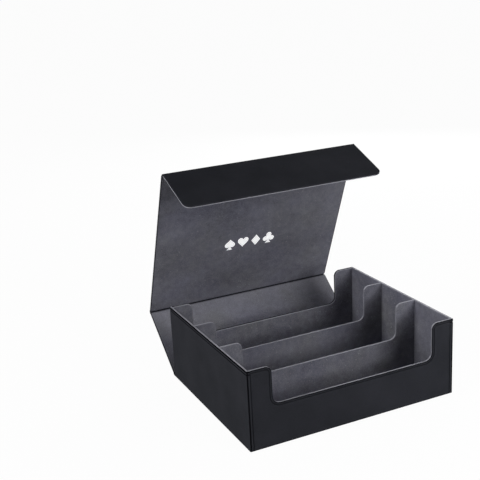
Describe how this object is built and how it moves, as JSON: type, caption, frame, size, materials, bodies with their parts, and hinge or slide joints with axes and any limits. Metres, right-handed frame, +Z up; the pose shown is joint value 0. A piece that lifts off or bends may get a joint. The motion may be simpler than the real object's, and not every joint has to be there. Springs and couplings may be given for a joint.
{
  "type": "card storage box",
  "caption": "Rigid folding box for trading cards: an open lined tray with divided rows in a wrap-around case of spine, lid and magnetic front flap.",
  "frame": {"origin": "centre of the tray's flat foot, on the surface that the box stands on", "axes": "+Z up, -Y towards the front wall, +X to the right as seen from the front, along the rows"},
  "size_m": [0.2896, 0.3217, 0.2892],
  "materials": {
    "cover_leather": "satin",
    "suede_lining": "matte",
    "greyboard": "matte",
    "magnet": "satin"
  },
  "bodies": {
    "tray": {"base_cover": "cover_leather", "base_board": "greyboard", "floor_lining": "suede_lining", "left_wall_cover": "cover_leather", "left_wall_board": "greyboard", "left_wall_lining": "suede_lining", "right_wall_cover": "cover_leather", "right_wall_board": "greyboard", "right_wall_lining": "suede_lining", "front_wall_cover": "cover_leather", "front_wall_board": "greyboard", "front_wall_lining": "suede_lining", "back_wall_cover": "cover_leather", "back_wall_board": "greyboard", "back_wall_lining": "suede_lining", "front_divider_board": "greyboard", "front_divider_lining": "suede_lining", "rear_divider_board": "greyboard", "rear_divider_lining": "suede_lining", "base_crease_cover": "cover_leather", "base_crease_lining": "suede_lining", "front_wall_magnets": "magnet"},
    "spine": {"spine_cover": "cover_leather", "spine_board": "greyboard", "spine_lining": "suede_lining", "lid_crease_cover": "cover_leather", "lid_crease_lining": "suede_lining"},
    "lid": {"lid_cover": "cover_leather", "lid_board": "greyboard", "lid_lining": "suede_lining", "flap_crease_cover": "cover_leather", "flap_crease_lining": "suede_lining"},
    "flap": {"flap_cover": "cover_leather", "flap_board": "greyboard", "flap_lining": "suede_lining", "flap_magnets": "magnet"}
  },
  "joints": [
    {"name": "base_crease", "type": "hinge", "parent": "tray", "child": "spine", "pos_m": [0, 0.12113, 0.00077], "axis": [-1, 0, 0], "range_deg": [-51.5, 38.5], "deforming": ["base_crease_cover", "base_crease_lining"]},
    {"name": "lid_crease", "type": "hinge", "parent": "spine", "child": "lid", "pos_m": [0, 0.20342, 0.06623], "axis": [-1, 0, 0], "range_deg": [-15.5, 74.5], "deforming": ["lid_crease_cover", "lid_crease_lining"]},
    {"name": "flap_crease", "type": "hinge", "parent": "lid", "child": "flap", "pos_m": [0, 0.10877, 0.28923], "axis": [-1, 0, 0], "range_deg": [-1.5, 88.5], "deforming": ["flap_crease_cover", "flap_crease_lining"]}
  ]
}
